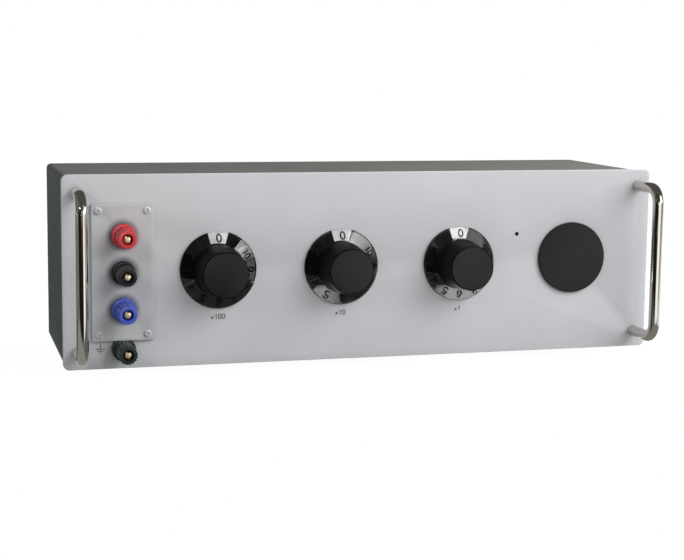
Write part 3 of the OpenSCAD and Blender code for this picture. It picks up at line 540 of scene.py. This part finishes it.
STUD_BACK, GROUND_STUD_BACK, STUD_SINK = -8.8, -12, 0.8
WIRE_R, WIRE_U, WIRE_REACH = 1.4, 10, 6
SLOT_HALF, SLOT_DEPTH, SLOT_REACH, SLOT_TURN = 0.5, 1.4, 5, -pi / 3
SHOULDER_IN_R, SHOULDER_R = 2.4, 3.7


def threaded_stud(x, y, back, front, radius=2.5, pitch=0.8, depth=0.28, dome=0.8, sides=40, rows=6):
    """Stud with a helical thread, a shoulder, a cross hole for a wire and a slot in its domed end. The thread has
    straight flanks between a flat crest and a flat root."""
    form = bmesh.new()
    shank = front - dome
    count = round((shank - back) / pitch * rows)
    levels = [(back + (shank - back) * j / count, radius) for j in range(count + 1)]
    levels += [(shank + dome * sin(k / 8 * pi / 2), (radius - depth) * cos(k / 8 * pi / 2)) for k in range(1, 8)]
    rings = []
    for height, reach in levels:
        ring = []
        for k in range(sides):
            turn = (height / pitch - k / sides) % 1
            r = min(reach, radius - depth * min(1, max(0, 2.4 * abs(turn - 0.5) - 0.1)))
            ring.append(form.verts.new((x + r * sin(tau * k / sides), y + r * cos(tau * k / sides), height)))
        rings.append(ring)
    for low, high in zip(rings, rings[1:]):
        for k in range(sides):
            form.faces.new((low[k], low[(k + 1) % sides], high[(k + 1) % sides], high[k]))
    form.faces.new(rings[0])
    form.faces.new(rings[-1])
    tool = bmesh.new()
    lathe(tool, [(0, -WIRE_REACH), (WIRE_R, -WIRE_REACH), (WIRE_R, WIRE_REACH), (0, WIRE_REACH)],
          at(x, y, WIRE_U) @ Matrix.Rotation(pi / 2, 4, "Y"), sides=40, closed=False)
    slot = bmesh.new()
    box(slot, (-SLOT_REACH, -SLOT_HALF, front - SLOT_DEPTH), (SLOT_REACH, SLOT_HALF, front + 1))
    repeat(tool, slot, [at(x, y) @ Matrix.Rotation(SLOT_TURN, 4, "Z")])
    form = cut_away(form, tool)
    low = POST_LEVEL - SHOULDER_T
    shoulder = [(SHOULDER_IN_R, low), (SHOULDER_R, low), (SHOULDER_R, POST_LEVEL), (SHOULDER_IN_R, POST_LEVEL)]
    lathe(form, soften(shoulder, size=0.2), at(x, y), sides=64)
    return form


bm = bmesh.new()
for name, (x, y, cap_back, cap_front) in POSTS.items():
    stud_back = GROUND_STUD_BACK if name == "ground" else STUD_BACK
    repeat(bm, threaded_stud(x, y, stud_back, cap_front - STUD_SINK), [Matrix.Identity(4)])
piece("post_studs_threaded", bm, "box", "gold_brass", ["post_studs"], crease=30)


# Dials

SKIRT_R, RIM_U, RIM_T, HUB_U, GRIP_U, HUB_R = 27.0, 1.2, 1.2, 4.3, 5.9, 5.5
GRIP_R, GRIP_FACE_R, REACH, FACE_R, FACE_T, FIT = 18.2, 16.0, 30.0, 15.2, 1.2, 0.02
SLOPE = atan2(GRIP_U - RIM_U - RIM_T, SKIRT_R - GRIP_R)
FIGURE_R, FIGURE_STEP = 22.4, 30


def bow(x, y, rx, ry, start, end, steps=20):
    """Points of an elliptical arc, in degrees counter-clockwise."""
    return [(x + rx * cos(radians(start + (end - start) * k / steps)),
             y + ry * sin(radians(start + (end - start) * k / steps))) for k in range(steps + 1)]


def oval(y, rx, ry):
    """Closed oval of a figure, which starts at its top."""
    return bow(0, y, rx, ry, 90, 440, 35), True


# Strokes of the printed figures in a box one unit high, about its centre; True marks a closed stroke
FIGURES = {
    "0": [oval(0, 0.29, 0.5)],
    "1": [([(-0.2, 0.3), (0.06, 0.5), (0.06, -0.5)], False)],
    "2": [(bow(0, 0.2, 0.28, 0.3, 165, -35) + [(-0.3, -0.5), (0.31, -0.5)], False)],
    "3": [(bow(-0.02, 0.25, 0.26, 0.25, 150, -90) + bow(-0.02, -0.24, 0.3, 0.26, 90, -150), False)],
    "4": [([(0.14, -0.5), (0.14, 0.5), (-0.33, -0.2), (0.34, -0.2)], False)],
    "5": [([(0.27, 0.5), (-0.2, 0.5), (-0.26, 0.04)] + bow(-0.01, -0.18, 0.3, 0.32, 125, -150), False)],
    "6": [oval(-0.2, 0.29, 0.3), ([(0.2, 0.5), (-0.04, 0.3), (-0.2, 0.06), (-0.28, -0.18)], False)],
    "7": [([(-0.3, 0.5), (0.3, 0.5), (-0.08, -0.5)], False)],
    "8": [oval(0.26, 0.24, 0.24), oval(-0.24, 0.29, 0.26)],
    "9": [oval(0.2, 0.29, 0.3), ([(-0.2, -0.5), (0.04, -0.3), (0.2, -0.06), (0.28, 0.18)], False)],
    "x": [([(-0.24, -0.44), (0.24, 0.04)], False), ([(-0.24, 0.04), (0.24, -0.44)], False)],
}
FIGURE_PITCH, INK_UNDER, INK_OVER = 0.78, 0.02, 0.06


def stroke(bm, points, closed, width, put):
    """Thin printed strip along points, mitred at its corners up to twice its width; put() lays a point of the mark at
    a lift over the surface."""
    points = [Vector(p) for p in points]
    last = len(points) - 1
    rows = []
    for i, point in enumerate(points):
        ahead = points[(i + 1) % len(points)] if closed or i < last else point
        behind = points[i - 1] if closed or i > 0 else point
        along = (ahead - behind).normalized()
        mitre = 1.0
        if ahead != point and behind != point:
            mitre = 1 / max(0.5, along.dot((ahead - point).normalized()))
        aside = Vector((-along.y, along.x)) * width / 2 * mitre
        rows.append([bm.verts.new(put(*(point + sign * aside), lift))
                     for sign, lift in ((-1, INK_UNDER), (1, INK_UNDER), (1, INK_OVER), (-1, INK_OVER))])
    pairs = list(zip(rows, rows[1:])) + ([(rows[-1], rows[0])] if closed else [])
    for a, b in pairs:
        for k in range(4):
            bm.faces.new((a[k], a[(k + 1) % 4], b[(k + 1) % 4], b[k]))
    if not closed:
        bm.faces.new(rows[0])
        bm.faces.new(rows[-1][::-1])


def figures(bm, word, height, width, put):
    """Print a row of figures about the origin of put()."""
    for i, letter in enumerate(word):
        shift = (i - (len(word) - 1) / 2) * FIGURE_PITCH * height
        for points, closed in FIGURES[letter]:
            stroke(bm, [(shift + x * height, y * height) for x, y in points], closed, width, put)


for n, (x, y, _, _) in DIALS.items():
    body, here = f"dial_{n}", at(x, y)
    bm = bmesh.new()
    lathe(bm, soften([(SKIRT_R - RIM_T, RIM_U), (SKIRT_R, RIM_U), (SKIRT_R, RIM_U + RIM_T), (GRIP_R, GRIP_U),
                      (HUB_R, GRIP_U), (HUB_R, HUB_U), (GRIP_R - RIM_T, HUB_U)], size=0.5), here, sides=192)
    piece(f"{body}_skirt_clear", bm, body, "skirt_clear", [f"{body}_skirt"])

    bm = bmesh.new()
    lathe(bm, [(HUB_R, GRIP_U + FIT), (GRIP_R, GRIP_U + FIT), *rolled(GRIP_FACE_R, REACH), (FACE_R + FIT, REACH),
               (FACE_R + FIT, REACH - FACE_T), (HUB_R, REACH - FACE_T)], here, sides=160)
    piece(f"{body}_grip_turned", bm, body, "grip_black", [f"{body}_grip"])

    bm = bmesh.new()
    disc = [(0, REACH - FACE_T), (FACE_R, REACH - FACE_T), (FACE_R, REACH), (0, REACH)]
    lathe(bm, soften(disc, size=0.15, closed=False), here, sides=128, closed=False)
    piece(f"{body}_face_disc", bm, body, "face_charcoal", [f"{body}_face"])

    bm = bmesh.new()
    for number in range(11):
        def on_cone(along, out, lift, number=number):
            """Lay a figure on the skirt, its top outward, one step counter-clockwise for each number."""
            radius = FIGURE_R + out * cos(SLOPE)
            angle = radians(-FIGURE_STEP * number) + along / radius
            depth = GRIP_U - (radius - GRIP_R) * sin(SLOPE) / cos(SLOPE) + lift * cos(SLOPE)
            radius += lift * sin(SLOPE)
            return x + radius * sin(angle), y + radius * cos(angle), depth
        height, width = (5.4, 1.0) if number < 10 else (4.6, 0.8)
        figures(bm, str(number), height, width, on_cone)
    piece(f"{body}_figures", bm, body, "mask_black", finish=print_ink)

MASK_R, MASK_T, MASK_HOLE_R, WINDOW_R, WINDOW_HALF = 26.5, 0.6, 8.4, 18.2, 16.0


def fan(x, y, r, start, end, steps):
    """Points of an arc about a dial, in degrees clockwise from its top."""
    return [Vector((x + r * sin(a), y + r * cos(a)))
            for a in (radians(start + (end - start) * k / steps) for k in range(steps + 1))]


masks, windows = bmesh.new(), bmesh.new()
for x, y, _, _ in DIALS.values():
    rim = fan(x, y, MASK_R, 360 - WINDOW_HALF, WINDOW_HALF, 180) + fan(x, y, WINDOW_R, WINDOW_HALF, -WINDOW_HALF, 16)
    sheet(masks, rim, [circle(x, y, MASK_HOLE_R)], 0, MASK_T, edge=0.05, steps=1)
    rim = fan(x, y, MASK_R, WINDOW_HALF, -WINDOW_HALF, 20) + fan(x, y, WINDOW_R, -WINDOW_HALF, WINDOW_HALF, 16)
    sheet(windows, rim, [], 0, MASK_T, edge=0.05, steps=1)
piece("dial_masks_laminate", masks, "box", "mask_black", ["dial_masks"])
piece("dial_windows_laminate", windows, "box", "window_white", ["dial_windows"])

BLANK_R, BLANK_T, BLANK_STUD_R, BLANK_STUD_BACK = 26.0, 3.0, 4.75, -7.2
bm = bmesh.new()
lathe(bm, [(0, BLANK_STUD_BACK), (BLANK_STUD_R, BLANK_STUD_BACK), (BLANK_STUD_R, 0), (BLANK_R, 0),
           *rolled(BLANK_R, BLANK_T), (0, BLANK_T)], at(blank_x, blank_y), sides=160, closed=False)
piece("blank_cover_disc", bm, "box", "face_charcoal", ["blank_cover"], finish=blank_charcoal)


# Printed marks on the panel

FACTOR_DROP, FACTOR_H, LINE_W = 33, 3.4, 0.5
DOT_X, DOT_Y, DOT_R, DOT_W = 111.4, 87.1, 0.7, 1.45
EARTH_X, EARTH_STEM, EARTH_BARS = -15.5, 4, ((3.2, 0), (2.0, -1.4), (0.8, -2.8))


def on_panel(x, y):
    return lambda along, up, lift: (x + along, y + up, lift)


bm = bmesh.new()
for (x, y, _, _), word in zip(DIALS.values(), ("x100", "x10", "x1")):
    figures(bm, word, FACTOR_H, LINE_W, on_panel(x, y - FACTOR_DROP))
stroke(bm, bow(0, 0, DOT_R, DOT_R, 90, 435, 23), True, DOT_W, on_panel(DOT_X, DOT_Y))
earth = on_panel(POSTS["ground"][0] + EARTH_X, POSTS["ground"][1])
stroke(bm, [(0, EARTH_STEM), (0, 0)], False, LINE_W, earth)
for half, level in EARTH_BARS:
    stroke(bm, [(-half, level), (half, level)], False, LINE_W, earth)
piece("panel_marks_printed", bm, "box", "mask_black", finish=print_ink)


# Stage, lamps and camera

def seen_directly(tree):
    """1 for the camera's rays and for rays that leave a mirror or pass through the clear skirts."""
    path = add(tree, "ShaderNodeLightPath").outputs
    mirror = add(tree, "ShaderNodeMath", {0: path["Is Camera Ray"], 1: path["Is Glossy Ray"]}, operation="MAXIMUM")
    return add(tree, "ShaderNodeMath", {0: mirror.outputs["Value"], 1: path["Is Transmission Ray"]},
               operation="MAXIMUM").outputs["Value"]


def stage_sheet(name, corners, material):
    """One flat sheet of the stage, given by its corners in metres."""
    mesh = bpy.data.meshes.new(name)
    mesh.from_pydata(corners, [], [range(len(corners))])
    mesh.materials.append(material)
    made = bpy.data.objects.new(name, mesh)
    scene.collection.objects.link(made)
    return made


def lamp(name, place, target, size, watts, **shown):
    """Soft rectangular lamp aimed at a point."""
    light = bpy.data.lights.new(name, "AREA")
    light.shape, light.size, light.size_y, light.energy = "RECTANGLE", size[0], size[1], watts
    made = bpy.data.objects.new(name, light)
    made.location = place
    made.rotation_euler = (Vector(target) - Vector(place)).to_track_quat("-Z", "Y").to_euler()
    for setting, value in shown.items():
        setattr(made, setting, value)
    scene.collection.objects.link(made)
    return made


world = scene.world or bpy.data.worlds.new("studio")
scene.world = world
world.use_nodes = True
tree = world.node_tree
tree.nodes.clear()
dim = add(tree, "ShaderNodeBackground", {"Color": (1, 1, 1, 1), "Strength": 0.45}).outputs["Background"]
white = add(tree, "ShaderNodeBackground", {"Color": (1, 1, 1, 1), "Strength": 1.0}).outputs["Background"]
sky = add(tree, "ShaderNodeMixShader", {0: seen_directly(tree), 1: dim, 2: white}).outputs["Shader"]
add(tree, "ShaderNodeOutputWorld", {"Surface": sky})

# White paper floor: nearly all of what the camera sees is the paper's own white, and the rest keeps a faint shadow
FLOOR_X, FLOOR_FRONT, FLOOR_BACK = 4, -0.22, 4
floor_paper = bpy.data.materials.new("white_paper_floor")
floor_paper.use_nodes = True
tree = floor_paper.node_tree
tree.nodes.clear()
glow = add(tree, "ShaderNodeEmission", {"Color": (1, 1, 1, 1), "Strength": 1.06}).outputs["Emission"]
paper = add(tree, "ShaderNodeBsdfDiffuse", {"Color": linear("#f4f4f4")}).outputs["BSDF"]
bounce = add(tree, "ShaderNodeBsdfDiffuse", {"Color": linear("#a8a8a8")}).outputs["BSDF"]
shown = add(tree, "ShaderNodeMixShader", {0: 0.92, 1: paper, 2: glow}).outputs["Shader"]
mixed = add(tree, "ShaderNodeMixShader", {0: seen_directly(tree), 1: bounce, 2: shown}).outputs["Shader"]
add(tree, "ShaderNodeOutputMaterial", {"Surface": mixed})


def felt(name, shade, corners, cover=1.0, glow=1.0, fade=None):
    """Sheet that glows with its own colour as a painted reflection, and lights nothing; a net covers only part of
    what is behind it. Its glow may rise along an axis as a painted gradient: fade holds the axis, the place and
    brightness where it starts, and the place where it is full."""
    material = bpy.data.materials.new(name)
    material.use_nodes = True
    material.cycles.emission_sampling = "NONE"
    tree = material.node_tree
    tree.nodes.clear()
    clear = add(tree, "ShaderNodeBsdfTransparent").outputs["BSDF"]
    if fade:
        axis, start, least, full = fade
        place = add(tree, "ShaderNodeNewGeometry").outputs["Position"]
        along = add(tree, "ShaderNodeSeparateXYZ", {"Vector": place}).outputs[axis]
        glow = add(tree, "ShaderNodeMapRange", {"Value": along, "From Min": start, "From Max": full,
                                                "To Min": least, "To Max": glow}).outputs["Result"]
    glowing_cloth = add(tree, "ShaderNodeEmission", {"Color": linear(shade), "Strength": glow}).outputs["Emission"]
    mixed = add(tree, "ShaderNodeMixShader", {0: cover, 1: clear, 2: glowing_cloth}).outputs["Shader"]
    add(tree, "ShaderNodeOutputMaterial", {"Surface": mixed})
    made = stage_sheet(name, corners, material)
    made.visible_camera = made.visible_diffuse = made.visible_shadow = False
    return made


def wall(start, end, low, high):
    """Corners of an upright sheet between two points of the floor plan."""
    return [(*start, low), (*end, low), (*end, high), (*start, high)]


def mat(left, right, front, back, level=0.002):
    """Corners of a flat sheet over the floor."""
    return [(left, front, level), (right, front, level), (right, back, level), (left, back, level)]


stage_sheet("floor", mat(-FLOOR_X, FLOOR_X, FLOOR_FRONT, FLOOR_BACK, 0), floor_paper)

# The rest of the room, which only gloss and the clear skirts see, made of sheets that glow with their own colour as
# painted reflections. Dim walls and ceiling stand far off
WHITE, GREY, DARK = "#ffffff", "#5d5e57", "#1b1815"
ROOM_X, ROOM_FRONT, ROOM_BACK, ROOM_LOW, ROOM_TOP = 2.4, -2.5, 4.0, -1.0, 2.3
felt("wall_front", GREY, wall((-ROOM_X, ROOM_FRONT), (ROOM_X, ROOM_FRONT), 0.6, ROOM_TOP))
felt("wall_left", "#7c7c78", wall((-ROOM_X, ROOM_FRONT), (-ROOM_X, ROOM_BACK), ROOM_LOW, ROOM_TOP))
felt("wall_right", GREY, wall((ROOM_X, ROOM_FRONT), (ROOM_X, ROOM_BACK), 0.6, ROOM_TOP))
felt("wall_back", GREY, wall((-ROOM_X, ROOM_BACK), (ROOM_X, ROOM_BACK), 0.3, ROOM_TOP))
felt("ceiling", GREY, mat(-ROOM_X, ROOM_X, ROOM_FRONT, ROOM_BACK, ROOM_TOP))
# In front, a dark glowing sheet on the left and a white glowing sheet on the right whose glow is painted to rise to
# the right, with a bright glowing card that stands in for the key lamp's reflection
FRONT_Y, PAPER_START, PAPER_END, PAPER_TOP = -0.76, -0.045, 0.7, 0.18
felt("felt_front", "#241d1a", wall((-1.47, FRONT_Y), (PAPER_START, FRONT_Y), ROOM_LOW, 0.3))
felt("paper_front", "#fffcfa", wall((PAPER_START, FRONT_Y), (PAPER_END, FRONT_Y), ROOM_LOW, PAPER_TOP), glow=1.6,
     fade=("X", 0.01, 0.03, 0.15))
felt("paper_right", "#b6b3b3", wall((PAPER_END, FRONT_Y), (ROOM_X, 0.8), ROOM_LOW, PAPER_TOP))
felt("key_card", WHITE, [(0.66, -1.06, 0.12), (1.06, -0.66, 0.12), (1.0, -0.6, 0.84), (0.6, -1.0, 0.84)], glow=4.5)
# Glowing cards right of the dials, with a dark back, which the upper right of the first two skirts mirrors as painted
# highlights
NEAR_X, NEAR_FRONT, NEAR_SPLIT, NEAR_END, NEAR_TOP = 0.12, -0.36, -0.235, -0.135, 0.245
NEAR_BACK_X = NEAR_X + 0.0005
felt("near_card_1", WHITE, wall((NEAR_X, NEAR_FRONT), (NEAR_X, NEAR_SPLIT), 0.075, NEAR_TOP), glow=7.4,
     fade=("Z", 0.08, 0.3, 0.19))
felt("near_card_2", WHITE, wall((NEAR_X, NEAR_SPLIT), (NEAR_X, NEAR_END), 0.085, NEAR_TOP), glow=4.7,
     fade=("Z", 0.086, 0.2, 0.15))
felt("near_card_back", DARK, wall((NEAR_BACK_X, NEAR_FRONT), (NEAR_BACK_X, NEAR_END), 0.085, NEAR_TOP))
felt("near_card_flag", DARK, wall((NEAR_X, -0.47), (NEAR_X, -0.22), NEAR_TOP, 0.36))
# Glowing cards that the lower halves of the second and third skirts mirror as painted reflections
CARD_LEVEL, CARD_BACK = 0.045, -0.0515
felt("card_2", WHITE, mat(-0.05, -0.0215, -0.076, CARD_BACK, CARD_LEVEL), glow=3.1, fade=("X", -0.022, 1.2, -0.034))
felt("card_3", WHITE, mat(0.045, 0.1, -0.07, CARD_BACK, CARD_LEVEL), glow=3.7, fade=("X", 0.046, 1.7, 0.058))
# A dark flag that the right handle mirrors, and a net that dims the highlight of the third skirt
felt("flag_handle", DARK, wall((0.19, -0.093), (0.19, -0.0875), 0.012, 0.13))
felt("net_front", "#000000", wall((0.095, -0.10), (0.18, -0.10), 0.07, 0.16), cover=0.65)
# Glowing grey sheets on the table, in front of the panel and beside the case, as painted reflections of a lit table
TABLE_LEFT, TABLE_FRONT, TABLE_PANEL, TABLE_BACK, CASE_SIDE = -0.42, -0.21, -0.046, 1.2, -0.225
felt("table_far", "#84847e", mat(-1.6, TABLE_LEFT, TABLE_FRONT, TABLE_BACK))
felt("table_left", "#a4a49e", mat(TABLE_LEFT, -0.19, TABLE_FRONT, TABLE_PANEL))
felt("table_middle", "#74757a", mat(-0.19, 0.165, TABLE_FRONT, TABLE_PANEL))
felt("table_right", "#94948c", mat(0.165, 0.3, TABLE_FRONT, TABLE_PANEL))
felt("table_side", "#5f6664", mat(TABLE_LEFT, CASE_SIDE, TABLE_PANEL, TABLE_BACK))
# A glowing green sheet beside the case, which only its side sees: it paints a teal tint and shade onto the side's
# light
glowing_cloth = felt("table_cloth", "#5a9c9c", mat(-0.75, CASE_SIDE, TABLE_PANEL, TABLE_BACK, 0.003))
glowing_cloth.visible_diffuse, glowing_cloth.visible_glossy, glowing_cloth.visible_transmission = True, False, False

middle = (0.0, -0.05, 0.07)
lamp("key_softbox", (0.86, -0.86, 0.46), middle, (1.3, 1.1), 3.2, visible_glossy=False, visible_transmission=False)
lamp("side_fill", (1.3, -0.75, 0.45), middle, (0.9, 0.9), 1.5, visible_glossy=False)
lamp("front_fill", (0.95, -1.45, 1.2), middle, (1.6, 1.2), 21.3, visible_glossy=False, visible_transmission=False)
lamp("overhead_fill", (0.75, 0.1, 0.7), middle, (0.6, 0.5), 9.0, visible_glossy=False)
lamp("small_fill", (-0.75, -0.93, 0.55), middle, (0.08, 0.08), 1.0)
lamp("small_spark", (-0.19, -1.1, 0.18), middle, (0.1, 0.1), 1.5, visible_diffuse=False)
# Light that reaches only what lies under the clear skirts
lamp("window_fill", (0.1, -0.7, 1.1), middle, (0.9, 0.7), 25.0, visible_diffuse=False, visible_glossy=False)

# Camera fitted to the outline of the panel
camera = bpy.data.objects.new("camera", bpy.data.cameras.new("camera"))
camera.location = (-0.30788, -1.06811, 0.21673)
camera.rotation_euler = [radians(a) for a in (82.74755, -0.68832, -16.11434)]
camera.data.lens, camera.data.sensor_width = 79.21, 36
camera.data.shift_x, camera.data.shift_y = -0.0185, -0.0397
scene.collection.objects.link(camera)
scene.camera = camera
scene.view_settings.view_transform = "Standard"
